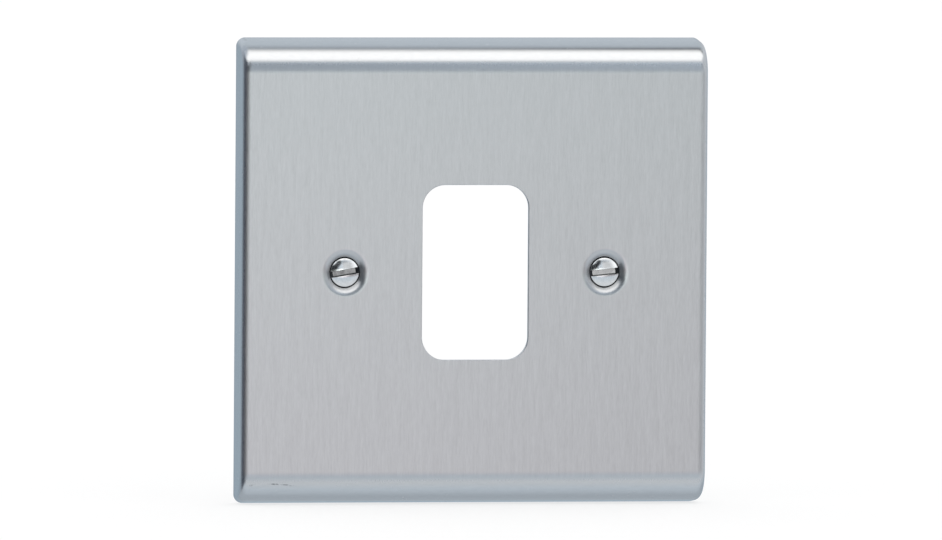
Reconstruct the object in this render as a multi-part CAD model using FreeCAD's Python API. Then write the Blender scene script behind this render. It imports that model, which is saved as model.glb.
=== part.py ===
import FreeCAD, Part
import math
import os

# One-module grid switch plate: a pressed metal front plate with an empty
# module aperture, and two captive slotted screws that fix it to its frame.
# Millimetres. +X right, +Z up, front faces -Y. The origin is the middle of
# the plate on the wall plane, so the back rim is at Y = 0.

# ---- driving dimensions ------------------------------------------------
PLATE_W = 86.0          # across X
PLATE_H = 85.0          # along Z
PLATE_D = 9.0           # front face to back rim
SHEET_T = 1.0           # sheet thickness

ROLL_R = 6.0            # outer radius of the rolled top and bottom edges
ROLL_ANGLE = 84.0       # degrees turned by the roll before the straight flank
SIDE_BEND_R = 1.6       # outer radius of the folds at the left and right sides

APERTURE_W = 19.6       # opening for one switch module
APERTURE_H = 31.9
APERTURE_R = 4.2        # its corner radius

SCREW_PITCH = 48.0      # between the two screw axes, along X
DIMPLE_R = 4.45         # where the flat face starts to dip towards the screw
DIMPLE_LIP_R = 1.8      # rounding of the dimple's edge
DIMPLE_HOLE_R = 1.95    # clearance hole at the dimple's floor
DIMPLE_NOSE = 2.75      # depth of the pressed dimple's nose behind the face

HEAD_R = 2.66           # raised countersunk head
HEAD_RIM = 0.12         # cylindrical land at the head's edge
HEAD_DOME = 0.64        # height of the raised dome over the land
SEAT_GAP = 0.05         # running clearance between head cone and dimple cone
SLOT_W = 1.1
SLOT_DEPTH = 1.3        # from the top of the dome
SLOT_ANGLE_LEFT = 9.6   # degrees, right-hand end of the slot is the higher one
SLOT_ANGLE_RIGHT = 5.7

NECK_R = 1.45           # waisted shank under the head
THREAD_R = 1.75         # M3.5 outside diameter
SHOULDER_Y = -2.8       # where the neck ends and the thread starts
TIP_Y = 8.2             # end of the screw
TIP_TAPER = 0.9
TIP_R = 1.25

RETAINER_R = 3.5        # captive washer on the neck
RETAINER_BORE_R = 1.50
RETAINER_T = 1.0
RETAINER_GAP = 0.1      # washer to thread shoulder, at rest
RETAINER_CHAMFER = 0.2

V = FreeCAD.Vector
os.makedirs("parts", exist_ok=True)


def line(a, b):
    return Part.LineSegment(a, b).toShape()


def arc(a, m, b):
    return Part.Arc(a, m, b).toShape()


# ---- plate section, in the YZ plane -------------------------------------
PHI = math.radians(ROLL_ANGLE)
NY, NZ = -math.cos(PHI), math.sin(PHI)      # outward normal of the top flank
# run of the whole rolled edge, from the rim to the flat of the face
FLANK_DEPTH = PLATE_D - ROLL_R + ROLL_R * math.cos(PHI)
FLANK_RUN = FLANK_DEPTH * math.cos(PHI) / math.sin(PHI)
ROLL_RUN = ROLL_R * math.sin(PHI) + FLANK_RUN
ROLL_CY = -PLATE_D + ROLL_R
ROLL_CZ = PLATE_H / 2 - ROLL_RUN


def section(offset, back):
    """Half of the plate's section above Z = 0, as points from the face to
    the plane Y = back, set in from the outside by offset."""
    r = ROLL_R - offset
    face = (ROLL_CY - r, ROLL_CZ)
    mid = (ROLL_CY - r * math.cos(PHI / 2), ROLL_CZ + r * math.sin(PHI / 2))
    end = (ROLL_CY + r * NY, ROLL_CZ + r * NZ)
    run = back - end[0]
    tail = (back, end[1] + run * math.cos(PHI) / math.sin(PHI))
    return face, mid, end, tail


def block(offset, back, bend_r):
    """The plate's outline as a filled block, set in by offset, with the
    folds at its left and right sides rounded."""
    face, mid, end, tail = section(offset, back)
    half = PLATE_W / 2 - offset

    def top(p):
        return V(-half, p[0], p[1])

    def low(p):
        return V(-half, p[0], -p[1])

    wire = Part.Wire([
        line(low(tail), low(end)),
        arc(low(end), low(mid), low(face)),
        line(low(face), top(face)),
        arc(top(face), top(mid), top(end)),
        line(top(end), top(tail)),
        line(top(tail), low(tail)),
    ])
    solid = Part.Face(wire).extrude(V(2 * half, 0, 0))
    folds = []
    for e in solid.Edges:
        b = e.BoundBox
        on_side = abs(abs(b.XMin) - half) < 1e-6 and b.XLength < 1e-6
        on_back = abs(b.YMin - back) < 1e-6 and abs(b.YMax - back) < 1e-6
        if on_side and not on_back:
            folds.append(e)
    return solid.makeFillet(bend_r, folds)


def revolve(points, x):
    """Turn a closed outline of (radius, Y) points about the screw axis at x."""
    vs = [V(x + r, y, 0) for r, y in points]
    wire = Part.makePolygon(vs + [vs[0]])
    return Part.Face(wire).revolve(V(x, 0, 0), V(0, 1, 0), 360)


FACE_Y = -PLATE_D
BACK_Y = FACE_Y + SHEET_T
# the dimple's cone is 45 degrees: radius + depth is the same all along it
CONE_SUM = DIMPLE_R - DIMPLE_LIP_R * math.tan(math.radians(22.5))
BACK_SUM = CONE_SUM + SHEET_T * math.sqrt(2)


def dimple_back(x):
    """The boss that the dimple makes on the back of the sheet."""
    return revolve([
        (0, FACE_Y + SHEET_T / 2),
        (BACK_SUM - SHEET_T / 2, FACE_Y + SHEET_T / 2),
        (BACK_SUM - DIMPLE_NOSE, FACE_Y + DIMPLE_NOSE),
        (0, FACE_Y + DIMPLE_NOSE),
    ], x)


def dimple_front(x):
    """The hollow that the dimple leaves in the front, with its hole."""
    s = math.sqrt(0.5)
    lip_y = FACE_Y + DIMPLE_LIP_R
    a = V(x + DIMPLE_R, FACE_Y, 0)
    m = V(x + DIMPLE_R - DIMPLE_LIP_R * math.sin(math.pi / 8),
          lip_y - DIMPLE_LIP_R * math.cos(math.pi / 8), 0)
    b = V(x + DIMPLE_R - DIMPLE_LIP_R * s, lip_y - DIMPLE_LIP_R * s, 0)
    c = V(x + DIMPLE_HOLE_R, FACE_Y + CONE_SUM - DIMPLE_HOLE_R, 0)
    d = V(x + DIMPLE_HOLE_R, FACE_Y + DIMPLE_NOSE + 1.0, 0)
    e = V(x, FACE_Y + DIMPLE_NOSE + 1.0, 0)
    f = V(x, FACE_Y - 1.0, 0)
    g = V(x + DIMPLE_R, FACE_Y - 1.0, 0)
    wire = Part.Wire([arc(a, m, b), line(b, c), line(c, d), line(d, e),
                      line(e, f), line(f, g), line(g, a)])
    return Part.Face(wire).revolve(V(x, 0, 0), V(0, 1, 0), 360)


def aperture():
    w, h = APERTURE_W / 2, APERTURE_H / 2
    box = Part.makeBox(2 * w, 4.0, 2 * h, V(-w, FACE_Y - 2.0, -h))
    corners = [e for e in box.Edges
               if e.BoundBox.XLength < 1e-6 and e.BoundBox.ZLength < 1e-6]
    return box.makeFillet(APERTURE_R, corners)


def front_plate():
    shell = block(0.0, 0.0, SIDE_BEND_R).cut(
        block(SHEET_T, 1.0, SIDE_BEND_R - SHEET_T))
    shell = shell.cut(aperture())
    for x in (-SCREW_PITCH / 2, SCREW_PITCH / 2):
        shell = shell.fuse(dimple_back(x))
    shell = shell.removeSplitter()
    for x in (-SCREW_PITCH / 2, SCREW_PITCH / 2):
        shell = shell.cut(dimple_front(x))
    return shell.removeSplitter()


def screw(x, slot_angle):
    """Slotted raised countersunk screw, waisted under the head."""
    rim_back = FACE_Y + CONE_SUM - SEAT_GAP * math.sqrt(2) - HEAD_R
    rim_front = rim_back - HEAD_RIM
    apex = rim_front - HEAD_DOME
    dome_r = (HEAD_R ** 2 + HEAD_DOME ** 2) / (2 * HEAD_DOME)
    half = math.asin(HEAD_R / dome_r) / 2
    neck_y = rim_back + HEAD_R - NECK_R
    p = [V(x, apex, 0),
         V(x + dome_r * math.sin(half), apex + dome_r * (1 - math.cos(half)), 0),
         V(x + HEAD_R, rim_front, 0), V(x + HEAD_R, rim_back, 0),
         V(x + NECK_R, neck_y, 0), V(x + NECK_R, SHOULDER_Y, 0),
         V(x + THREAD_R, SHOULDER_Y + THREAD_R - NECK_R, 0),
         V(x + THREAD_R, TIP_Y - TIP_TAPER, 0), V(x + TIP_R, TIP_Y, 0),
         V(x, TIP_Y, 0)]
    wire = Part.Wire([arc(p[0], p[1], p[2])] +
                     [line(p[i], p[i + 1]) for i in range(2, 9)] +
                     [line(p[9], p[0])])
    body = Part.Face(wire).revolve(V(x, 0, 0), V(0, 1, 0), 360)
    slot = Part.makeBox(4 * HEAD_R, 2.0 + SLOT_DEPTH, SLOT_W,
                        V(x - 2 * HEAD_R, apex - 2.0, -SLOT_W / 2))
    slot.rotate(V(x, 0, 0), V(0, -1, 0), slot_angle)
    return body.cut(slot)


def retainer(x):
    y1 = SHOULDER_Y - RETAINER_GAP
    y0 = y1 - RETAINER_T
    c = RETAINER_CHAMFER
    return revolve([
        (RETAINER_BORE_R, y0), (RETAINER_R - c, y0), (RETAINER_R, y0 + c),
        (RETAINER_R, y1 - c), (RETAINER_R - c, y1), (RETAINER_BORE_R, y1),
    ], x)


nodes = {
    "front_plate": front_plate(),
    "left_screw": screw(-SCREW_PITCH / 2, SLOT_ANGLE_LEFT),
    "right_screw": screw(SCREW_PITCH / 2, SLOT_ANGLE_RIGHT),
    "left_retainer": retainer(-SCREW_PITCH / 2),
    "right_retainer": retainer(SCREW_PITCH / 2),
}

for name, shape in nodes.items():
    if not shape.isValid() or len(shape.Solids) != 1:
        raise RuntimeError(name + " is not one valid solid")
    shape.Solids[0].exportStep("parts/" + name + ".step")
    b = shape.BoundBox
    print(name, "volume", round(shape.Volume, 2), "mm3, box",
          [round(v, 3) for v in (b.XMin, b.YMin, b.ZMin, b.XMax, b.YMax, b.ZMax)])
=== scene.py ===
import math

import bmesh
import bpy
from mathutils import Matrix, Vector
from mathutils.geometry import delaunay_2d_cdt

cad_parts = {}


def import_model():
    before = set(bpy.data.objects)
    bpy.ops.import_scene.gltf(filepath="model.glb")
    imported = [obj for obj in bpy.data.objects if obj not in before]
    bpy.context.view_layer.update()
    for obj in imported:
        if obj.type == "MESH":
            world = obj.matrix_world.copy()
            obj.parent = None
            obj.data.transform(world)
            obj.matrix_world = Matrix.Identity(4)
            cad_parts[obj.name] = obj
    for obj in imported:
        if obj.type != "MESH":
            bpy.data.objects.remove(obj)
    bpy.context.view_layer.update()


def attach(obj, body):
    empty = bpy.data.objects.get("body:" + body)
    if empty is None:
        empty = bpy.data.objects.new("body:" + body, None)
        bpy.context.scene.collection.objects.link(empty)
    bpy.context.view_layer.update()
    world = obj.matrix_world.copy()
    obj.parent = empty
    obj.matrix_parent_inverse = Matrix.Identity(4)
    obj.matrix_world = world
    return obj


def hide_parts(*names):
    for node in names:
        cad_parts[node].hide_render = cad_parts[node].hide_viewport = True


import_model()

# ---------------------------------------------------------------- sizes, mm
MM = 0.001
PLATE_W, PLATE_H, PLATE_D, SHEET_T = 86.0, 85.0, 9.0, 1.0
ROLL_R, ROLL_ANGLE, SIDE_BEND_R = 6.0, 84.0, 1.6
APERTURE_W, APERTURE_H, APERTURE_R = 19.6, 31.9, 4.2
SCREW_PITCH = 48.0
DIMPLE_R, DIMPLE_LIP_R, DIMPLE_HOLE_R, DIMPLE_NOSE = 4.45, 1.8, 1.95, 2.75
HEAD_R, HEAD_RIM, HEAD_DOME, SEAT_GAP = 2.66, 0.12, 0.64, 0.05
SLOT_W, SLOT_DEPTH = 1.1, 1.3
SLOT_ANGLE = {"left": 9.6, "right": 5.7}
NECK_R, THREAD_R, THREAD_PITCH = 1.45, 1.75, 0.6
THREAD_ROOT_R = 1.39
SHOULDER_Y, TIP_Y, TIP_TAPER, TIP_R = -2.8, 8.2, 0.9, 1.25
RETAINER_R, RETAINER_BORE_R, RETAINER_T, RETAINER_GAP = 3.5, 1.5, 1.0, 0.1

PHI = math.radians(ROLL_ANGLE)
FACE_Y = -PLATE_D
BACK_Y = FACE_Y + SHEET_T
ROLL_CY = FACE_Y + ROLL_R
FLANK_DEPTH = PLATE_D - ROLL_R + ROLL_R * math.cos(PHI)
ROLL_RUN = ROLL_R * math.sin(PHI) + FLANK_DEPTH * math.cos(PHI) / math.sin(PHI)
ROLL_CZ = PLATE_H / 2 - ROLL_RUN
CONE_SUM = DIMPLE_R - DIMPLE_LIP_R * math.tan(math.radians(22.5))
BACK_SUM = CONE_SUM + SHEET_T * math.sqrt(2)


# ------------------------------------------------------------ mesh building
class Surface:
    """Collects faces with the true normal at each of their corners, and
    welds the corners that coincide, so that the result is one closed mesh."""

    def __init__(self):
        self.points, self.index, self.faces, self.normals = [], {}, [], []

    def vertex(self, p):
        key = (round(p[0] * 2e4), round(p[1] * 2e4), round(p[2] * 2e4))
        if key not in self.index:
            self.index[key] = len(self.points)
            self.points.append((p[0] * MM, p[1] * MM, p[2] * MM))
        return self.index[key]

    def face(self, corners, flip=False):
        """corners: (point, normal) pairs, anticlockwise seen from outside."""
        ids, ns = [], []
        for p, n in corners:
            i = self.vertex(p)
            if not ids or ids[-1] != i:
                ids.append(i)
                ns.append(n)
        while len(ids) > 1 and ids[0] == ids[-1]:
            ids.pop()
            ns.pop()
        if len(set(ids)) < 3:
            return
        if flip:
            ids.reverse()
            ns.reverse()
        self.faces.append(ids)
        self.normals.extend(ns)

    def grid(self, rows, flip=False, closed=False):
        """rows of (point, normal); joins each row to the next with quads."""
        for a, b in zip(rows, rows[1:]):
            n = len(a)
            for j in range(n if closed else n - 1):
                k = (j + 1) % n
                self.face([a[j], a[k], b[k], b[j]], flip)

    def build(self, name):
        mesh = bpy.data.meshes.new(name)
        mesh.from_pydata(self.points, [], self.faces)
        mesh.polygons.foreach_set("use_smooth", [True] * len(mesh.polygons))
        mesh.normals_split_custom_set(
            [Vector(n).normalized() for n in self.normals])
        mesh.update()
        return mesh


def new_object(name, mesh, *materials):
    obj = bpy.data.objects.new(name, mesh)
    bpy.context.scene.collection.objects.link(obj)
    for m in materials:
        mesh.materials.append(m)
    return obj


def steps(a, b, n):
    return [a + (b - a) * i / n for i in range(n + 1)]


# -------------------------------------------------------------- front plate
ROLL_STEPS, BEND_STEPS, CIRCLE = 28, 14, 112


def plate_columns(half, r):
    """Across the plate: the left fold, the flat width and the right fold."""
    edge = half - r
    cols = [(-1, a, None) for a in steps(math.pi / 2, 0, BEND_STEPS)]
    cols += [(0, 0.0, x) for x in steps(-edge, edge, 10)[1:-1]]
    cols += [(1, a, None) for a in steps(0, math.pi / 2, BEND_STEPS)]
    return cols


def plate_skin(surf, offset):
    """One skin of the sheet, set in by offset: rolled edges, side folds and
    side walls. Returns the loop of points at the rim, top and bottom."""
    R, half, r = ROLL_R - offset, PLATE_W / 2 - offset, SIDE_BEND_R - offset
    out = -1.0 if offset else 1.0        # the inner skin faces the hollow
    cols = plate_columns(half, r)

    def corner(P, N, col):
        side, a, x = col
        px = x if x is not None else side * (half - r + r * math.sin(a))
        d = r * (1 - math.cos(a))
        p = (px, P[0] - d * N[0], P[1] - d * N[1])
        n = (out * side * math.sin(a),
             out * math.cos(a) * N[0], out * math.cos(a) * N[1])
        return p, n

    rims = {}
    curve = {}
    for sign in (1, -1):
        rows = []
        for phi in steps(0, PHI, ROLL_STEPS):
            N = (-math.cos(phi), sign * math.sin(phi))
            P = (ROLL_CY - R * math.cos(phi),
                 sign * (ROLL_CZ + R * math.sin(phi)))
            rows.append([corner(P, N, c) for c in cols])
        N = (-math.cos(PHI), sign * math.sin(PHI))
        start = (ROLL_CY - R * math.cos(PHI), ROLL_CZ + R * math.sin(PHI))
        last = []
        for c in cols:
            d = r * (1 - math.cos(c[1]))
            t = (-start[0] - d * math.cos(PHI)) / math.sin(PHI)
            P = (start[0] + t * math.sin(PHI),
                 sign * (start[1] + t * math.cos(PHI)))
            last.append(corner(P, N, c))
        mid = []                            # one row half way down the flank
        for a, b in zip(rows[-1], last):
            mid.append((tuple((u + v) / 2 for u, v in zip(a[0], b[0])), b[1]))
        rows += [mid, last]
        surf.grid(rows, flip=(sign == -1) != (out < 0))
        rims[sign] = last
        curve[sign] = rows
    # the folds beside the flat of the face, and the flat side walls
    zs = steps(-ROLL_CZ, ROLL_CZ, 12)
    for side in (-1, 1):
        rows = []
        for z in zs:
            row = []
            for a in steps(0, math.pi / 2, BEND_STEPS):
                row.append(corner((ROLL_CY - R, z), (-1.0, 0.0), (side, a, None)))
            rows.append(row)
        surf.grid(rows, flip=(side == -1) != (out < 0))
        j = 0 if side == -1 else -1
        n = (out * side, 0.0, 0.0)
        edge = [row[j][0] for row in reversed(curve[-1])]
        edge += [row[-1][0] for row in rows[1:-1]]
        edge += [row[j][0] for row in curve[1]]
        surf.face([(p, n) for p in edge], flip=(side == 1) == (out > 0))
    return rims


def rounded_loop(w, h, r, n):
    """Points of a rounded rectangle in X and Z with outward directions."""
    pts = []
    for k, (sx, sz) in enumerate(((1, 1), (-1, 1), (-1, -1), (1, -1))):
        cx, cz = sx * (w / 2 - r), sz * (h / 2 - r)
        for i in range(n + 1):
            t = math.pi / 2 * (k + i / n)
            pts.append((cx, cz, math.cos(t), math.sin(t), r))
    return pts


def flat_sheet(surf, y, holes, ny):
    """The flat of the face, or its back, around its holes."""
    half = PLATE_W / 2 - SIDE_BEND_R
    xs, zs = steps(-half, half, 10), steps(-ROLL_CZ, ROLL_CZ, 12)
    outer = [(x, -ROLL_CZ) for x in xs[:-1]] + [(half, z) for z in zs[:-1]]
    outer += [(x, ROLL_CZ) for x in reversed(xs[1:])]
    outer += [(-half, z) for z in reversed(zs[1:])]
    pts, edges = [], []
    for loop in [outer] + holes:
        k = len(pts)
        pts += [Vector(p) for p in loop]
        edges += [(k + i, k + (i + 1) % len(loop)) for i in range(len(loop))]
    # a loose lattice between the holes keeps the triangles well shaped
    for x in steps(-half, half, 26)[1:-1]:
        for z in steps(-ROLL_CZ, ROLL_CZ, 24)[1:-1]:
            if all(not near(x, z, h) for h in holes):
                pts.append(Vector((x, z)))
    vs, _, fs, _, _, _ = delaunay_2d_cdt(pts, edges, [], 0, 1e-6)
    n = (0.0, ny, 0.0)
    for f in fs:
        cx = sum(vs[i].x for i in f) / len(f)
        cz = sum(vs[i].y for i in f) / len(f)
        if any(inside(cx, cz, h) for h in holes):
            continue
        a, b, c = (vs[i] for i in f)
        area = (b.x - a.x) * (c.y - a.y) - (c.x - a.x) * (b.y - a.y)
        # X and Z anticlockwise, seen from the front, faces -Y
        surf.face([((v.x, y, v.y), n) for v in (a, b, c)],
                  flip=(area > 0) != (ny < 0))


def inside(x, z, loop):
    hit = False
    for (x0, z0), (x1, z1) in zip(loop, loop[1:] + loop[:1]):
        if (z0 > z) != (z1 > z) and x < (x1 - x0) * (z - z0) / (z1 - z0) + x0:
            hit = not hit
    return hit


def near(x, z, loop):
    return inside(x, z, loop) or any(
        (x - a) ** 2 + (z - b) ** 2 < 1.2 for a, b in loop)


def turned(surf, profile, x0, flip=False, count=CIRCLE):
    """Turns (radius, y, normal radius, normal y) points about the axis x0."""
    rows = []
    for r, y, nr, ny in profile:
        row = []
        for j in range(count):
            t = 2 * math.pi * j / count
            c, s = math.cos(t), math.sin(t)
            row.append(((x0 + r * c, y, r * s), (nr * c, ny, nr * s)))
        rows.append(row)
    surf.grid(rows, flip=flip, closed=True)


def circle(x0, r):
    return [(x0 + r * math.cos(2 * math.pi * j / CIRCLE),
             r * math.sin(2 * math.pi * j / CIRCLE)) for j in range(CIRCLE)]


def plate_mesh():
    surf = Surface()
    outer, inner = plate_skin(surf, 0.0), plate_skin(surf, SHEET_T)
    up = (0.0, 1.0, 0.0)
    for sign in (1, -1):
        a = [(p, up) for p, _ in outer[sign]]
        b = [(p, up) for p, _ in inner[sign]]
        surf.grid([a, b], flip=sign == -1)
    for j, side in ((0, -1), (-1, 1)):
        ring = [outer[1][j], outer[-1][j], inner[-1][j], inner[1][j]]
        surf.face([(p, up) for p, _ in ring], flip=side == -1)

    # aperture: slightly rounded front edge, straight wall, sharper back edge
    lip, burr = 0.14, 0.05
    loop = rounded_loop(APERTURE_W, APERTURE_H, APERTURE_R, 18)
    rows = []
    for t in steps(0, math.pi / 2, 5):
        rows.append((lip * (1 - math.sin(t)), FACE_Y + lip * (1 - math.cos(t)),
                     -math.sin(t), -math.cos(t)))
    for t in steps(math.pi / 2, 0, 3):
        rows.append((burr * (1 - math.sin(t)), BACK_Y - burr * (1 - math.cos(t)),
                     -math.sin(t), math.cos(t)))
    grid = []
    for out, y, nm, ny in rows:
        grid.append([((cx + (r + out) * mx, y, cz + (r + out) * mz),
                      (nm * mx, ny, nm * mz)) for cx, cz, mx, mz, r in loop])
    surf.grid(grid, closed=True)
    hole_front = [(p[0], p[2]) for p, _ in grid[0]]
    hole_back = [(p[0], p[2]) for p, _ in grid[-1]]

    # screw dimples
    s = math.sqrt(0.5)
    floor_y = FACE_Y + CONE_SUM - DIMPLE_HOLE_R
    nose_y = FACE_Y + DIMPLE_NOSE
    nose_r = BACK_SUM - DIMPLE_NOSE
    boss_r = BACK_SUM - SHEET_T
    fronts, backs = [], []
    for x0 in (-SCREW_PITCH / 2, SCREW_PITCH / 2):
        lip_rows = []
        for t in steps(0, math.pi / 4, 10):
            lip_rows.append((DIMPLE_R - DIMPLE_LIP_R * math.sin(t),
                             FACE_Y + DIMPLE_LIP_R * (1 - math.cos(t)),
                             -math.sin(t), -math.cos(t)))
        e = 0.08                            # broken edge where the hole starts
        cone = [lip_rows[-1], (DIMPLE_HOLE_R + e * 0.7, floor_y - e * 0.7, -s, -s)]
        hole = [cone[-1], (DIMPLE_HOLE_R, floor_y + e, -1, 0),
                (DIMPLE_HOLE_R, nose_y, -1, 0)]
        turned(surf, lip_rows, x0)
        turned(surf, cone, x0)
        turned(surf, hole, x0)
        k = 0.22                            # rounding of the pressed nose
        turned(surf, [(DIMPLE_HOLE_R, nose_y, 0, 1), (nose_r - k * 0.414, nose_y, 0, 1)], x0)
        bend = []
        for t in steps(0, math.pi / 4, 4):
            bend.append((nose_r - k * 0.414 + k * math.sin(t),
                         nose_y - k * (1 - math.cos(t)), math.sin(t), math.cos(t)))
        turned(surf, bend, x0)
        turned(surf, [bend[-1], (boss_r, BACK_Y, s, s)], x0)
        fronts.append(circle(x0, DIMPLE_R))
        backs.append(circle(x0, boss_r))
    flat_sheet(surf, FACE_Y, [hole_front] + fronts, -1.0)
    flat_sheet(surf, BACK_Y, [hole_back] + backs, 1.0)
    return surf.build("front_plate_mesh")


# ------------------------------------------------------------------- screws
RIM_BACK = FACE_Y + CONE_SUM - SEAT_GAP * math.sqrt(2) - HEAD_R
RIM_FRONT = RIM_BACK - HEAD_RIM
APEX = RIM_FRONT - HEAD_DOME
DOME_R = (HEAD_R ** 2 + HEAD_DOME ** 2) / (2 * HEAD_DOME)
NECK_Y = RIM_BACK + HEAD_R - NECK_R
SLOT_FLOOR = APEX + SLOT_DEPTH
TURN = 96
EDGE_R = 0.16                               # rounding at the edge of the dome
EDGE_T = math.asin((HEAD_R - EDGE_R) / (DOME_R - EDGE_R))
EDGE_Y = APEX + DOME_R - (DOME_R - EDGE_R) * math.cos(EDGE_T)


def thread_radius(t, y):
    """The outside of the threaded length: a 60 degree right-hand thread that
    runs out at the shoulder and at the tapered tip."""
    f = (y / THREAD_PITCH + t / (2 * math.pi)) % 1.0
    f = abs(f - 0.5) * 2                    # 0 at the root, 1 at the crest
    f = min(max((f - 0.22) / 0.64, 0.0), 1.0)
    r = THREAD_ROOT_R + (THREAD_R - THREAD_ROOT_R) * f
    limit = min(THREAD_R, NECK_R + (y - SHOULDER_Y),
                THREAD_R - (THREAD_R - TIP_R) * (y - TIP_Y + TIP_TAPER) / TIP_TAPER)
    return min(r, limit)


def thread_normal(t, y):
    e = 0.01
    r = thread_radius(t, y)
    dt = (thread_radius(t + e, y) - thread_radius(t - e, y)) / (2 * e)
    dy = (thread_radius(t, y + e) - thread_radius(t, y - e)) / (2 * e)
    c, s = math.cos(t), math.sin(t)
    return Vector((c + s * dt / r, -dy, s - c * dt / r)).normalized()


def screw_body(x0):
    surf = Surface()
    s = math.sqrt(0.5)
    dome = []
    for t in steps(0, EDGE_T, 24):
        dome.append((DOME_R * math.sin(t), APEX + DOME_R * (1 - math.cos(t)),
                     math.sin(t), -math.cos(t)))
    turned(surf, dome, x0, flip=True, count=TURN)
    edge = []
    for t in steps(EDGE_T, math.pi / 2, 8):
        edge.append((HEAD_R - EDGE_R + EDGE_R * math.sin(t),
                     EDGE_Y - EDGE_R * math.cos(t), math.sin(t), -math.cos(t)))
    turned(surf, edge, x0, True, TURN)
    turned(surf, [(HEAD_R, EDGE_Y, 1, 0), (HEAD_R, RIM_BACK, 1, 0)], x0, True, TURN)
    turned(surf, [(HEAD_R, RIM_BACK, s, s), (HEAD_R - 0.45, RIM_BACK + 0.45, s, s),
                  (NECK_R, NECK_Y, s, s)], x0, True, TURN)
    turned(surf, [(NECK_R, NECK_Y, 1, 0), (NECK_R, SHOULDER_Y, 1, 0)], x0, True, TURN)
    rows = [[((x0 + NECK_R * math.cos(t), SHOULDER_Y, NECK_R * math.sin(t)),
              (math.cos(t), 0, math.sin(t)))
             for t in (2 * math.pi * j / TURN for j in range(TURN))]]
    count = int((TIP_Y - SHOULDER_Y) / (THREAD_PITCH / 13))
    for y in steps(SHOULDER_Y, TIP_Y, count)[1:]:
        row = []
        for j in range(TURN):
            t = 2 * math.pi * j / TURN
            r = thread_radius(t, y)
            row.append(((x0 + r * math.cos(t), y, r * math.sin(t)),
                        tuple(thread_normal(t, y))))
        rows.append(row)
    surf.grid(rows, flip=True, closed=True)
    centre = (x0, TIP_Y, 0.0)
    for j in range(TURN):
        a, b = rows[-1][j][0], rows[-1][(j + 1) % TURN][0]
        surf.face([(centre, (0, 1, 0)), (b, (0, 1, 0)), (a, (0, 1, 0))])
    return surf.build("screw_body")


def slot_cutter(x0, angle):
    """A bar the width of the slot, whose mouth breaks the dome's edges."""
    surf = Surface()
    c, s = math.cos(angle), math.sin(angle)
    rows = []
    for u in steps(-3.6, 3.6, 60):
        r = min(math.hypot(u, SLOT_W / 2), HEAD_R)
        yd = APEX + DOME_R - math.sqrt(DOME_R ** 2 - r * r)
        h, k = SLOT_W / 2, 0.05
        ring = [(-h, SLOT_FLOOR), (h, SLOT_FLOOR), (h, yd + k), (h + 2 * k, yd - k),
                (h + 2 * k, APEX - 1), (-h - 2 * k, APEX - 1), (-h - 2 * k, yd - k),
                (-h, yd + k)]
        rows.append([((x0 + u * c - w * s, y, u * s + w * c), (0, 0, 1))
                     for w, y in ring])
    surf.grid(rows, closed=True)
    surf.face(rows[0], flip=True)
    surf.face(rows[-1])
    mesh = surf.build("slot_cutter")
    bm = bmesh.new()
    bm.from_mesh(mesh)
    bmesh.ops.recalc_face_normals(bm, faces=bm.faces)
    bm.to_mesh(mesh)
    bm.free()
    return mesh


def screw_mesh(side):
    x0 = -SCREW_PITCH / 2 if side == "left" else SCREW_PITCH / 2
    angle = math.radians(SLOT_ANGLE[side])
    body = new_object("screw_raw", screw_body(x0))
    bar = new_object("slot_raw", slot_cutter(x0, angle))
    cut = body.modifiers.new("slot", "BOOLEAN")
    cut.operation, cut.solver, cut.object = "DIFFERENCE", "EXACT", bar
    dg = bpy.context.evaluated_depsgraph_get()
    mesh = bpy.data.meshes.new_from_object(body.evaluated_get(dg))
    mesh.name = side + "_screw_mesh"
    for o in (body, bar):
        old = o.data
        bpy.data.objects.remove(o)
        bpy.data.meshes.remove(old)
    # true normals: the cut leaves the turned surfaces where they were
    c, s = math.cos(angle), math.sin(angle)
    q = math.sqrt(0.5)
    normals = [None] * len(mesh.loops)
    for poly in mesh.polygons:
        m = poly.center / MM
        flat = poly.normal
        w = -(m.x - x0) * s + m.z * c
        nw = -flat.x * s + flat.z * c
        in_slot = abs(w) < SLOT_W / 2 + 0.11 and m.y < SLOT_FLOOR + 0.02 and (
            abs(nw) > 0.3 or m.y > SLOT_FLOOR - 0.01)
        for li in poly.loop_indices:
            p = mesh.vertices[mesh.loops[li].vertex_index].co / MM
            t = math.atan2(p.z, p.x - x0)
            rad = Vector((math.cos(t), 0, math.sin(t)))
            if in_slot or m.y > TIP_Y - 1e-3:
                n = flat
            elif math.hypot(m.x - x0, m.z) < DOME_R * math.sin(EDGE_T) and m.y < RIM_BACK:
                n = p - Vector((x0, APEX + DOME_R, 0))
            elif m.y < EDGE_Y:
                n = p - (Vector((x0, EDGE_Y, 0)) + rad * (HEAD_R - EDGE_R))
            elif m.y < RIM_BACK:
                n = rad
            elif m.y < NECK_Y:
                n = rad * q + Vector((0, q, 0))
            elif m.y < SHOULDER_Y:
                n = rad
            else:
                n = thread_normal(t, min(max(p.y, SHOULDER_Y + 0.02), TIP_Y - 0.02))
            normals[li] = n.normalized()
    mesh.polygons.foreach_set("use_smooth", [True] * len(mesh.polygons))
    mesh.normals_split_custom_set(normals)
    mesh.update()
    return mesh


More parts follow.
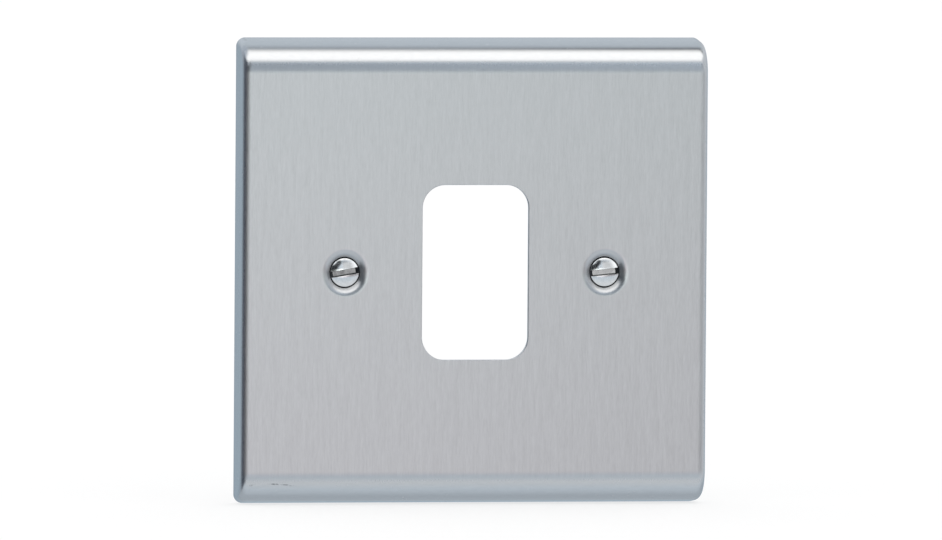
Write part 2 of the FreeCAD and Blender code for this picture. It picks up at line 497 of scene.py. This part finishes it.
# ---------------------------------------------------------- captive washers
def retainer_mesh(side):
    x0 = -SCREW_PITCH / 2 if side == "left" else SCREW_PITCH / 2
    y1 = SHOULDER_Y - RETAINER_GAP
    y0 = y1 - RETAINER_T
    surf = Surface()
    corners = [(RETAINER_BORE_R, y0, 0.10), (RETAINER_R, y0, 0.20),
               (RETAINER_R, y1, 0.20), (RETAINER_BORE_R, y1, 0.10)]
    turns = [math.pi, 1.5 * math.pi, 0.0, 0.5 * math.pi]
    profile = []
    for (r, y, k), start in zip(corners, turns):
        for t in steps(start, start + math.pi / 2, 6):
            nr, ny = math.cos(t), math.sin(t)
            cr = r + k if r == RETAINER_BORE_R else r - k
            cy = y + k if y == y0 else y - k
            profile.append((cr + k * nr, cy + k * ny, nr, ny))
    profile.append(profile[0])
    turned(surf, profile, x0, flip=True, count=72)
    return surf.build(side + "_retainer_mesh")


# ---------------------------------------------------------------- materials
SCUFF_Z, NICK_Z = 41.39, 38.45


class Nodes:
    def __init__(self, tree):
        self.tree = tree
        tree.nodes.clear()

    def add(self, kind, inputs=None, **props):
        n = self.tree.nodes.new(kind)
        for k, v in props.items():
            setattr(n, k, v)
        for k, v in (inputs or {}).items():
            self.put(n, k, v)
        return n

    def put(self, node, key, value):
        sock = node.inputs[key]
        if isinstance(value, bpy.types.NodeSocket):
            self.tree.links.new(value, sock)
        else:
            sock.default_value = value

    def math(self, op, a, b=None, c=None, clamp=False):
        n = self.add("ShaderNodeMath", operation=op, use_clamp=clamp)
        for i, v in enumerate((a, b, c)):
            if v is not None:
                self.put(n, i, v)
        return n.outputs[0]

    def span(self, v, a, b, lo=0.0, hi=1.0, smooth=True):
        n = self.add("ShaderNodeMapRange",
                     {"Value": v, "From Min": a, "From Max": b, "To Min": lo, "To Max": hi},
                     interpolation_type="SMOOTHSTEP" if smooth else "LINEAR")
        return n.outputs[0]

    def noise(self, vec, scale=1.0, detail=2.0, rough=0.5):
        n = self.add("ShaderNodeTexNoise",
                     {"Vector": vec, "Scale": scale, "Detail": detail, "Roughness": rough})
        return n.outputs["Fac"]

    def times(self, vec, xyz):
        n = self.add("ShaderNodeVectorMath", operation="MULTIPLY")
        self.put(n, 0, vec)
        n.inputs[1].default_value = xyz
        return n.outputs[0]

    def mix(self, fac, a, b):
        n = self.add("ShaderNodeMix", data_type="RGBA")
        self.put(n, 0, fac)
        self.put(n, 6, a)
        self.put(n, 7, b)
        return n.outputs[2]

    def millimetres(self):
        tc = self.add("ShaderNodeTexCoord")
        n = self.add("ShaderNodeVectorMath", operation="SCALE")
        self.put(n, 0, tc.outputs["Object"])
        n.inputs["Scale"].default_value = 1000.0
        return n.outputs[0]

    def xyz(self, vec):
        n = self.add("ShaderNodeSeparateXYZ")
        self.put(n, 0, vec)
        return n.outputs[0], n.outputs[1], n.outputs[2]

    def finish(self, shader):
        out = self.add("ShaderNodeOutputMaterial")
        self.tree.links.new(shader, out.inputs["Surface"])


def make_material(name):
    m = bpy.data.materials.new(name)
    m.use_nodes = True
    return m, Nodes(m.node_tree)


def screw_radius(k, x, z):
    """Distance from the nearer screw axis."""
    dx = k.math("SUBTRACT", k.math("ABSOLUTE", x), SCREW_PITCH / 2)
    return k.math("SQRT", k.math("ADD", k.math("MULTIPLY", dx, dx), k.math("MULTIPLY", z, z)))


def plate_material():
    mat, k = make_material("plate_metal")
    mm = k.millimetres()
    x, y, z = k.xyz(mm)
    # upright brush marks: short scratches, fine grain, and slow bands
    marks = k.noise(k.times(mm, (1.85, 1.85, 0.20)), 1.0, 3.0, 0.65)
    grain = k.noise(k.times(mm, (4.0, 4.0, 0.60)), 1.0, 2.0, 0.6)
    bands = k.noise(k.times(mm, (0.7, 0.7, 0.04)), 1.0, 2.0, 0.5)
    satin = k.noise(k.times(mm, (0.6, 2.0, 2.0)), 1.0, 2.0, 0.5)
    brush = k.math("ADD", k.math("MULTIPLY", marks, 0.5),
                   k.math("ADD", k.math("MULTIPLY", grain, 0.35),
                          k.math("MULTIPLY", bands, 0.15)))
    face = k.math("MULTIPLY", k.span(k.math("ABSOLUTE", z), 35.9, 38.6, 1.0, 0.0),
                  k.span(k.math("ABSOLUTE", x), 41.7, 42.8, 1.0, 0.0))
    rad = screw_radius(k, x, z)
    pressed = k.span(rad, DIMPLE_R - 0.8, DIMPLE_R + 0.2, 1.0, 0.0)
    face = k.math("MULTIPLY", face, k.math("SUBTRACT", 1.0, pressed))
    calm = k.math("ADD", 0.43, k.math("MULTIPLY", satin, 0.14))
    tone = k.math("ADD", k.math("MULTIPLY", brush, face),
                  k.math("MULTIPLY", calm, k.math("SUBTRACT", 1.0, face)))
    colour = k.mix(k.span(tone, 0.32, 0.68, 0.0, 1.0, False),
                   (0.550, 0.556, 0.562, 1), (0.689, 0.695, 0.701, 1))
    # a dry scuff on the lower rolled edge, near its left end
    wob = k.noise(k.times(mm, (1.6, 1.6, 1.6)), 1.0, 3.0, 0.6)
    line = k.math("ADD", k.math("MULTIPLY", x, -0.07),
                  k.math("MULTIPLY", wob, 0.5))
    off = k.math("ABSOLUTE", k.math("ADD", k.math("SUBTRACT", z, line), SCUFF_Z))
    scuff = k.math("MULTIPLY", k.span(off, 0.03, 0.16, 1.0, 0.0),
                   k.math("MULTIPLY", k.span(x, -38.0, -37.1),
                          k.span(x, -34.2, -32.3, 1.0, 0.0)))
    scuff = k.math("MULTIPLY", scuff, k.span(k.noise(k.times(mm, (2.2, 2.2, 5.0))), 0.35, 0.6))
    nick = k.math("MULTIPLY", k.span(k.math("ABSOLUTE", k.math("ADD", x, 41.08)), 0.10, 0.42, 1.0, 0.0),
                  k.span(k.math("ABSOLUTE", k.math("ADD", z, k.math("ADD", NICK_Z, k.math("MULTIPLY", wob, 0.6)))), 0.05, 0.22, 1.0, 0.0))
    scuff = k.math("MAXIMUM", scuff, k.math("MULTIPLY", nick, k.span(k.noise(k.times(mm, (5.0, 5.0, 5.0))), 0.42, 0.56)))
    dy, dz = k.math("SUBTRACT", y, ROLL_CY), k.math("ADD", z, ROLL_CZ)
    out = k.math("SQRT", k.math("ADD", k.math("MULTIPLY", dy, dy), k.math("MULTIPLY", dz, dz)))
    scuff = k.math("MULTIPLY", scuff, k.span(out, ROLL_R - 0.5, ROLL_R - 0.2))    # outside only
    colour = k.mix(k.math("MULTIPLY", scuff, 0.52), colour, (0.16, 0.165, 0.17, 1))
    # painted shade: the crevice round each screw head is darkened in the colour as its shadow, and the dimple round it
    # darkens softly towards the head
    crevice_shade = k.math("MULTIPLY", k.span(rad, 2.72, 2.90, 1.0, 0.0), k.span(y, -8.5, -8.2))
    colour = k.mix(k.span(rad, 2.9, 4.1, 0.34, 0.0), colour, (0.19, 0.195, 0.205, 1))
    colour = k.mix(k.math("MULTIPLY", crevice_shade, 0.92), colour, (0.045, 0.048, 0.053, 1))
    rough = k.math("ADD", k.span(brush, 0.3, 0.7, 0.385, 0.455, False),
                   k.math("MULTIPLY", k.math("SUBTRACT", 1.0, face), -0.17))
    rough = k.math("ADD", rough, k.math("MULTIPLY", pressed, 0.07))
    rough = k.math("ADD", rough, k.math("MULTIPLY", scuff, 0.3))
    geo = k.add("ShaderNodeNewGeometry")
    across = k.add("ShaderNodeVectorMath", operation="CROSS_PRODUCT")
    across.inputs[0].default_value = (0, 0, 1)
    k.put(across, 1, geo.outputs["Normal"])
    bump = k.add("ShaderNodeBump", {"Strength": 0.2, "Distance": 0.00004,
                                    "Height": k.math("MULTIPLY", brush, face)})
    p = k.add("ShaderNodeBsdfPrincipled",
              {"Base Color": colour, "Roughness": rough, "Metallic": 1.0,
               "Anisotropic": 0.8, "Normal": bump.outputs[0], "Tangent": across.outputs[0]})
    k.finish(p.outputs[0])
    return mat


def screw_material():
    mat, k = make_material("screw_metal")
    mm = k.millimetres()
    x, y, z = k.xyz(mm)
    rad = screw_radius(k, x, z)
    ring = k.add("ShaderNodeCombineXYZ", {"X": k.math("MULTIPLY", rad, 9.0), "Y": k.math("MULTIPLY", y, 9.0), "Z": 0.0})
    turn = k.noise(ring.outputs[0], 1.0, 2.0, 0.6)
    wear = k.noise(k.times(mm, (1.7, 1.7, 1.7)), 1.0, 3.0, 0.6)
    colour = k.mix(k.span(wear, 0.3, 0.7), (0.72, 0.72, 0.715, 1), (0.80, 0.80, 0.795, 1))
    # painted shade: the walls of the slot and a ring round the edge of the head are darkened in the colour
    rr = k.math("MINIMUM", rad, HEAD_R)
    drop = k.math("SUBTRACT", APEX + DOME_R, k.math("SQRT", k.math("SUBTRACT", DOME_R ** 2, k.math("MULTIPLY", rr, rr))))
    depth = k.math("SUBTRACT", y, drop)
    wall = k.math("MULTIPLY", k.span(depth, 0.05, 0.22),
                  k.span(y, SLOT_FLOOR - 0.10, SLOT_FLOOR - 0.01, 1.0, 0.0))
    edge = k.math("MULTIPLY", k.span(rad, 2.56, 2.64), k.span(y, NECK_Y - 1.2, NECK_Y - 0.8, 1.0, 0.0))
    ahead = k.span(y, SLOT_FLOOR + 0.01, SLOT_FLOOR + 0.05, 1.0, 0.0)    # not the shank
    # the floors of the slots are darkened in the colour
    bed = k.math("MULTIPLY", k.math("MULTIPLY", k.span(depth, 0.2, 0.4), ahead),
                 k.span(y, SLOT_FLOOR - 0.06, SLOT_FLOOR - 0.02))
    # the left slot's floor is made much darker than the right's
    is_right = k.math("GREATER_THAN", x, 0.0)
    slot_floor_light = k.math("ADD", k.math("MULTIPLY", is_right, 0.57),
                   k.math("MULTIPLY", k.math("SUBTRACT", 1.0, is_right),
                          k.span(x, -SCREW_PITCH / 2 - 2.0, -SCREW_PITCH / 2 + 1.5, 0.12, 0.10)))
    slot_floor_light = k.math("ADD", slot_floor_light, k.span(k.noise(k.times(mm, (0.9, 0.9, 0.9)), 1.0, 2.0, 0.5), 0.35, 0.65, 0.0, 0.18))
    slot_floor_tone = k.mix(slot_floor_light, (0.12, 0.12, 0.122, 1), (0.66, 0.65, 0.645, 1))
    colour = k.mix(bed, colour, slot_floor_tone)
    sides = []
    for side, x0 in (("left", -SCREW_PITCH / 2), ("right", SCREW_PITCH / 2)):
        a = math.radians(SLOT_ANGLE[side])
        sides.append(k.math("SUBTRACT", k.math("MULTIPLY", z, math.cos(a)),
                            k.math("MULTIPLY", k.math("SUBTRACT", x, x0), math.sin(a))))
    below = k.math("ADD", k.math("MULTIPLY", sides[1], is_right),
                   k.math("MULTIPLY", sides[0], k.math("SUBTRACT", 1.0, is_right)))
    # painted shadow along the lower side of the slot floor
    corner = k.math("MULTIPLY", k.span(below, -SLOT_W / 2 + 0.06, -SLOT_W / 2 + 0.22, 1.0, 0.0),
                    k.math("MULTIPLY", k.span(depth, 0.2, 0.4), ahead))
    # painted shade in the slot and round the head's edge, mixed almost to black into the colour
    slot_and_rim_shade = k.math("MAXIMUM", k.math("MAXIMUM", wall, edge), k.math("MULTIPLY", corner, 0.85))
    colour = k.mix(k.math("MULTIPLY", slot_and_rim_shade, 0.95), colour, (0.018, 0.019, 0.021, 1))
    rough = k.math("ADD", k.span(turn, 0.3, 0.7, 0.08, 0.14, False),
                   k.math("MULTIPLY", k.span(wear, 0.5, 0.75), 0.06))
    rough = k.math("ADD", rough, k.math("ADD", k.math("MULTIPLY", slot_and_rim_shade, 0.25), k.math("MULTIPLY", bed, 0.12)))
    bump = k.add("ShaderNodeBump", {"Strength": 0.12, "Distance": 0.00003, "Height": turn})
    p = k.add("ShaderNodeBsdfPrincipled",
              {"Base Color": colour, "Roughness": rough, "Metallic": 1.0, "Normal": bump.outputs[0]})
    k.finish(p.outputs[0])
    return mat


def nylon_material():
    mat, k = make_material("washer_nylon")
    mm = k.millimetres()
    cloud = k.noise(k.times(mm, (0.9, 0.9, 0.9)), 1.0, 3.0, 0.6)
    fine = k.noise(k.times(mm, (7.0, 7.0, 7.0)), 1.0, 3.0, 0.6)
    colour = k.mix(k.span(cloud, 0.3, 0.7), (0.74, 0.725, 0.66, 1), (0.82, 0.81, 0.76, 1))
    bump = k.add("ShaderNodeBump", {"Strength": 0.2, "Distance": 0.00005, "Height": fine})
    p = k.add("ShaderNodeBsdfPrincipled",
              {"Base Color": colour, "Roughness": k.span(fine, 0.3, 0.7, 0.38, 0.52, False),
               "Subsurface Weight": 0.25, "Subsurface Radius": (0.001, 0.0009, 0.0007),
               "Subsurface Scale": 0.6, "Normal": bump.outputs[0]})
    k.finish(p.outputs[0])
    return mat


# ------------------------------------------------------------------- pieces
plate_mat, screw_mat, nylon_mat = plate_material(), screw_material(), nylon_material()

plate = new_object("plate_pressing", plate_mesh(), plate_mat)
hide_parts("front_plate")
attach(plate, "plate")

for side in ("left", "right"):
    screw = new_object(side + "_fixing_screw", screw_mesh(side), screw_mat)
    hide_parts(side + "_screw")
    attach(screw, side + "_fixing")
    washer = new_object(side + "_captive_washer", retainer_mesh(side), nylon_mat)
    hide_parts(side + "_retainer")
    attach(washer, side + "_washer")


# -------------------------------------------------------------------- stage
def floor():
    mat, k = make_material("floor_paper")
    tc = k.add("ShaderNodeTexCoord")
    n = k.noise(tc.outputs["Object"], 3.0, 2.0)
    colour = k.mix(k.span(n, 0.3, 0.7), (0.295, 0.295, 0.295, 1), (0.305, 0.305, 0.305, 1))
    p = k.add("ShaderNodeBsdfPrincipled",
              {"Base Color": colour, "Roughness": 0.95, "Specular IOR Level": 0.1,
               "Emission Color": (1, 1, 1, 1), "Emission Strength": 0.70})
    k.finish(p.outputs[0])
    bm = bmesh.new()
    bmesh.ops.create_circle(bm, cap_ends=True, segments=96, radius=4.0)
    mesh = bpy.data.meshes.new("floor")
    bm.to_mesh(mesh)
    bm.free()
    obj = new_object("floor", mesh, mat)
    obj.location = (0, 0, -PLATE_H / 2 * MM)
    obj.visible_glossy = False              # the world carries the reflections


def front_card():
    """A lit sheet standing low in front, seen only in reflections: brighter
    to the left and cooler at the top, so that the flat face shades too."""
    mat, k = make_material("front_card")
    geo = k.add("ShaderNodeNewGeometry")
    x, y, z = k.xyz(geo.outputs["Position"])
    across = k.math("SUBTRACT", x, CARD_Y * CARD_LEAN)
    level = k.span(across, -0.16, 0.12, CARD_LEFT, CARD_RIGHT, False)
    level = k.math("MULTIPLY", level, k.math("MAXIMUM", k.span(z, -0.10, 0.05, 0.750, 1.188, False), 0.80))
    aside = k.math("MULTIPLY", k.math("ARCTAN2", k.math("ADD", x, 0.03), CARD_Y), 180 / math.pi)
    shade = k.span(aside, -30.0, -9.0, 0.94, 0.0)
    level = k.math("MULTIPLY", level, k.math("SUBTRACT", 1.0, shade))
    colour = k.mix(k.span(z, -0.083, 0.033), CARD_LOW, CARD_HIGH)
    e = k.add("ShaderNodeEmission", {"Color": colour, "Strength": level})
    k.finish(e.outputs[0])
    mesh = bpy.data.meshes.new("front_card")
    mesh.from_pydata([(-1.0, 0, -0.15), (1.0, 0, -0.15), (1.0, 0, 0.065), (-1.0, 0, 0.065)], [], [(0, 1, 2, 3)])
    obj = new_object("front_card", mesh, mat)
    obj.location = (0, -CARD_Y, 0)
    obj.visible_camera = False
    obj.visible_diffuse = False
    obj.visible_shadow = False


def gel(name, corners, place, masks, tint):
    """A clear sheet, seen only in reflections, that dims what lies behind it.
    masks: (axis, from, to, low, high) ramps that say where the tint is."""
    mat, k = make_material(name)
    geo = k.add("ShaderNodeNewGeometry")
    axes = k.xyz(geo.outputs["Position"])
    part = 1.0
    for axis, a, b, lo, hi in masks:
        part = k.math("MULTIPLY", part, k.span(axes[axis], a, b, lo, hi))
    clear = k.add("ShaderNodeBsdfTransparent", {"Color": k.mix(part, (1, 1, 1, 1), tint)})
    k.finish(clear.outputs[0])
    mesh = bpy.data.meshes.new(name)
    mesh.from_pydata(corners, [], [(0, 1, 2, 3)])
    obj = new_object(name, mesh, mat)
    obj.location = place
    obj.visible_camera = False
    obj.visible_diffuse = False
    obj.visible_shadow = False


def roll_fill():
    """A clear lit panel in front that lights only the plate: it lifts the
    shaded band on the upper roll, more to the right."""
    mat, k = make_material("roll_fill")
    geo = k.add("ShaderNodeNewGeometry")
    x, y, z = k.xyz(geo.outputs["Position"])
    level = k.span(x, -0.01, 0.36, 0.0, 1.65, False)
    level = k.math("MULTIPLY", level, k.math("MULTIPLY", k.span(z, 0.09, 0.15), k.span(z, 0.36, 0.44, 1.0, 0.0)))
    level = k.math("MULTIPLY", level, k.span(x, 0.18, 0.27, 1.0, 0.0))
    e = k.add("ShaderNodeEmission", {"Color": (0.86, 1.0, 1.15, 1), "Strength": level})
    clear = k.add("ShaderNodeBsdfTransparent")
    both = k.add("ShaderNodeAddShader", {0: e.outputs[0], 1: clear.outputs[0]})
    k.finish(both.outputs[0])
    mesh = bpy.data.meshes.new("roll_fill")
    mesh.from_pydata([(-0.02, 0, 0.08), (0.6, 0, 0.08), (0.6, 0, 0.45), (-0.02, 0, 0.45)], [], [(0, 1, 2, 3)])
    obj = new_object("roll_fill", mesh, mat)
    obj.location = (0, -CARD_Y - 0.004, 0)
    obj.visible_camera = False
    obj.visible_diffuse = False
    obj.visible_shadow = False
    lit = bpy.data.collections.new("plate_only")
    lit.objects.link(bpy.data.objects["plate_pressing"])
    obj.light_linking.receiver_collection = lit


def screw_fill(side, x0, y0):
    """A clear lit panel in front that lights only one polished screw head,
    high on the right and low on the left."""
    mat, k = make_material(side + "_screw_fill")
    geo = k.add("ShaderNodeNewGeometry")
    x, y, z = k.xyz(geo.outputs["Position"])
    deg = 180 / math.pi
    turn = k.math("MULTIPLY", k.math("ARCTAN2", k.math("SUBTRACT", x, x0), y0), deg)
    flat = k.math("SQRT", k.math("ADD", k.math("POWER", k.math("SUBTRACT", x, x0), 2.0), y0 * y0))
    rise = k.math("MULTIPLY", k.math("ARCTAN2", z, flat), deg)
    lean = k.math("SUBTRACT", turn, k.span(rise, 8.0, 36.0, 0.0, 14.0))
    level = k.math("MULTIPLY", k.span(lean, -16.0, -8.0), k.span(turn, 50.0, 68.0, 1.0, 0.0))
    level = k.math("MULTIPLY", level, k.math("SUBTRACT", 1.0, k.math("MULTIPLY", k.span(turn, -2.0, 4.0, 0.92, 0.0), k.span(rise, 9.0, 14.0))))
    level = k.math("MULTIPLY", level, k.math("MULTIPLY", k.span(rise, 2.0, 7.0), k.span(rise, 30.0, 38.0, 1.0, 0.0)))
    upper = k.math("MULTIPLY", k.span(turn, -32.0, -18.0, 1.0, 0.0), k.span(rise, -9.0, -4.0, 1.0, 0.0))
    lower = k.math("MULTIPLY", k.span(turn, -22.0, -13.0, 1.0, 0.0), k.span(rise, -20.0, -16.0, 1.0, 0.0))
    low = k.math("MULTIPLY", k.math("MAXIMUM", upper, lower),
                 k.math("MULTIPLY", k.span(turn, -62.0, -52.0),
                        k.span(k.math("ADD", rise, k.span(turn, -62.0, -30.0, 40.0, 14.0)), -4.0, 4.0)))
    edge = k.span(k.math("SUBTRACT", rise, k.span(turn, -37.0, -14.0, 22.0, 41.0)), -3.0, 3.0)
    edge = k.math("MULTIPLY", edge, k.math("MULTIPLY", k.span(turn, -52.0, -42.0), k.span(lean, -16.0, -8.0, 1.0, 0.0)))
    level = k.math("ADD", level, k.math("MULTIPLY", edge, 0.7))
    e = k.add("ShaderNodeEmission",
              {"Color": k.mix(low, (0.99, 0.99, 0.98, 1), (0.98, 1.0, 1.02, 1)),
               "Strength": k.math("ADD", k.math("MULTIPLY", level, SCREW_FILL), k.math("MULTIPLY", low, LOW_FILL))})
    clear = k.add("ShaderNodeBsdfTransparent")
    both = k.add("ShaderNodeAddShader", {0: e.outputs[0], 1: clear.outputs[0]})
    k.finish(both.outputs[0])
    mesh = bpy.data.meshes.new(side + "_screw_fill")
    mesh.from_pydata([(-0.8, 0, -0.42), (1.0, 0, -0.42), (1.0, 0, 0.50), (-0.8, 0, 0.50)], [], [(0, 1, 2, 3)])
    obj = new_object(side + "_screw_fill", mesh, mat)
    obj.location = (0, -y0, 0)
    obj.visible_camera = False
    obj.visible_diffuse = False
    obj.visible_shadow = False
    head = bpy.data.collections.new(side + "_screw_head")
    head.objects.link(bpy.data.objects[side + "_fixing_screw"])
    obj.light_linking.receiver_collection = head


def world():
    w = bpy.data.worlds.new("studio")
    bpy.context.scene.world = w
    w.use_nodes = True
    k = Nodes(w.node_tree)
    tc = k.add("ShaderNodeTexCoord")
    x, y, z = k.xyz(tc.outputs["Generated"])
    front = k.math("MULTIPLY", y, -1.0)
    deg = 180 / math.pi
    pitch = k.math("MULTIPLY", k.math("ARCTAN2", z, front), deg)
    turn = k.math("MULTIPLY", k.math("ARCTAN2", x, front), deg)
    rise = k.math("MULTIPLY", k.math("ARCSINE", z), deg)
    left = k.math("MULTIPLY", turn, -1.0)

    def both(a, b):
        return k.math("MULTIPLY", a, b)

    n = k.add("ShaderNodeValToRGB")
    k.put(n, 0, k.span(pitch, -180.0, 180.0, 0.0, 1.0, False))
    el = n.color_ramp.elements
    while len(el) > 1:
        el.remove(el[-1])
    for i, (d, level, tint) in enumerate(ROOM):
        e = el[0] if i == 0 else el.new((d + 180) / 360)
        e.position = (d + 180) / 360
        e.color = (*[level * c / 4 for c in tint], 1)
    sky = n.outputs[0]

    def layer(sky, mask, rgb):
        return k.mix(mask, sky, (*[c / 4 for c in rgb], 1))

    # the room straight above the front card, the right-hand wall, the dim room
    # behind, the shaded room high on the left, and a black flag on the left
    sky = layer(sky, both(k.span(left, -4.0, 2.0), both(k.span(rise, 9.0, 14.0), k.span(rise, 33.0, 39.0, 1.0, 0.0))), AHEAD)
    sky = layer(sky, both(both(k.span(turn, 30.0, 55.0), k.span(turn, 140.0, 160.0, 1.0, 0.0)),
                          both(k.span(rise, -30.0, -12.0), k.span(rise, 38.0, 50.0, 1.0, 0.0))), RIGHT_SIDE)
    sky = layer(sky, both(k.span(k.math("ABSOLUTE", turn), 108.0, 126.0),
                          both(k.span(rise, -30.0, -18.0), k.span(rise, 4.0, 12.0, 1.0, 0.0))), BEHIND)
    sky = layer(sky, both(both(k.span(left, 64.0, 88.0), k.span(left, 136.0, 150.0, 1.0, 0.0)),
                          both(k.span(rise, 2.0, 10.0), k.span(rise, 62.0, 76.0, 1.0, 0.0))), LEFT_HIGH)
    low = k.span(k.math("ADD", rise, k.span(left, 30.0, 62.0, 14.0, 40.0)), -4.0, 4.0)
    top = k.math("ADD", k.span(left, 14.0, 37.0, 41.0, 24.0), k.span(left, 40.0, 56.0, 0.0, 14.0))
    top = k.math("SUBTRACT", top, k.span(left, 56.0, 78.0, 0.0, 6.0))
    high = k.span(k.math("SUBTRACT", rise, top), -4.0, 4.0, 1.0, 0.0)
    lean = k.math("ADD", left, k.span(rise, 8.0, 36.0, 0.0, 14.0))
    flag = both(both(k.span(lean, 13.0, 22.0), k.span(left, 104.0, 124.0, 1.0, 0.0)), both(low, high))
    shade = k.mix(k.span(left, 48.0, 62.0), (*[c / 4 for c in FRONT_FLAG], 1), (*[c / 4 for c in LEFT_FLAG], 1))
    sky = k.mix(flag, sky, shade)
    studio = k.add("ShaderNodeBackground", {"Color": sky, "Strength": 4.0})
    plain = k.add("ShaderNodeBackground", {"Color": (1.0, 1.0, 1.0, 1), "Strength": 1.0})
    path = k.add("ShaderNodeLightPath")
    mix = k.add("ShaderNodeMixShader", {0: path.outputs["Is Glossy Ray"], 1: plain.outputs[0], 2: studio.outputs[0]})
    out = k.add("ShaderNodeOutputWorld")
    k.tree.links.new(mix.outputs[0], out.inputs["Surface"])


# The room as the metal sees it: pitch in degrees from straight ahead, up over
# the top; brightness; tint.
BLUE, COOL, PALE, WHITE = (0.86, 1.0, 1.19), (0.90, 1.0, 1.10), (0.96, 1.0, 1.04), (1.0, 1.0, 1.0)
ROOM = [
    (-180, 0.56, COOL), (-106, 0.59, COOL), (-90, 0.70, COOL), (-73, 0.79, COOL),
    (-46, 0.84, PALE), (-26, 0.75, COOL), (-16, 0.71, COOL), (-7, 0.86, WHITE), (1, 1.05, PALE),
    (7, 0.82, COOL), (13, 0.19, BLUE), (34, 0.16, BLUE), (41, 0.71, COOL),
    (47, 1.40, WHITE), (53, 1.64, WHITE), (78, 1.64, WHITE), (87, 1.22, WHITE),
    (93, 0.72, PALE), (98, 0.51, COOL), (104, 0.53, COOL), (111, 0.69, COOL),
    (121, 0.75, COOL), (140, 0.73, COOL), (160, 0.65, COOL), (180, 0.55, COOL)]
AHEAD = (0.72, 0.80, 0.88)
RIGHT_SIDE = (0.74, 0.78, 0.83)
BEHIND = (0.44, 0.54, 0.63)
LEFT_HIGH = (0.50, 0.57, 0.66)
FRONT_FLAG = (0.025, 0.03, 0.035)
LEFT_FLAG = (0.09, 0.105, 0.135)
CARD_Y, CARD_LEAN, CARD_LEFT, CARD_RIGHT = 0.45, math.tan(math.radians(9.5)), 2.03, 0.51
FILL_Y, SCREW_FILL, LOW_FILL = 0.40, 0.60, 0.78
CARD_LOW, CARD_HIGH = (1.02, 0.965, 1.01, 1), (0.93, 1.01, 1.01, 1)

floor()
front_card()
roll_fill()
# the line over the upper roll's highlight is darker to the right
gel("top_gel", [(0.0, -0.05, 0), (0.4, -0.05, 0), (0.4, 0.1, 0), (0.0, 0.1, 0)], (0, 0, 0.40),
    [(1, -0.002, 0.012, 0.0, 1.0), (1, 0.054, 0.074, 1.0, 0.0), (0, 0.068, 0.100, 0.0, 1.0)],
    (0.04, 0.05, 0.06, 1))
screw_fill("left", -SCREW_PITCH / 2 * MM, FILL_Y)
screw_fill("right", SCREW_PITCH / 2 * MM, FILL_Y + 0.004)
world()

# ------------------------------------------------------------------- camera
AZ, EL, ROLL, DIST = math.radians(-9.5), math.radians(3.0), math.radians(0.40), 3.3427
AIM = Vector((0.085, -3.5, 0.165)) * MM
back = Vector((math.sin(AZ) * math.cos(EL), -math.cos(AZ) * math.cos(EL), math.sin(EL)))
right = Vector((math.cos(AZ), math.sin(AZ), 0))
upward = back.cross(right)
r_axis = math.cos(ROLL) * right + math.sin(ROLL) * upward
u_axis = -math.sin(ROLL) * right + math.cos(ROLL) * upward
cam_data = bpy.data.cameras.new("camera")
cam_data.lens, cam_data.sensor_width = 700.0, 36.0
cam_data.clip_start, cam_data.clip_end = 0.05, 30.0
cam = bpy.data.objects.new("camera", cam_data)
bpy.context.scene.collection.objects.link(cam)
cam.matrix_world = Matrix.Translation(AIM + back * DIST) @ Matrix((
    (r_axis.x, u_axis.x, back.x, 0), (r_axis.y, u_axis.y, back.y, 0),
    (r_axis.z, u_axis.z, back.z, 0), (0, 0, 0, 1)))
bpy.context.scene.camera = cam

scene = bpy.context.scene
scene.view_settings.view_transform = "Standard"
scene.view_settings.look = "None"
scene.view_settings.exposure = 0.0
scene.view_settings.gamma = 1.0
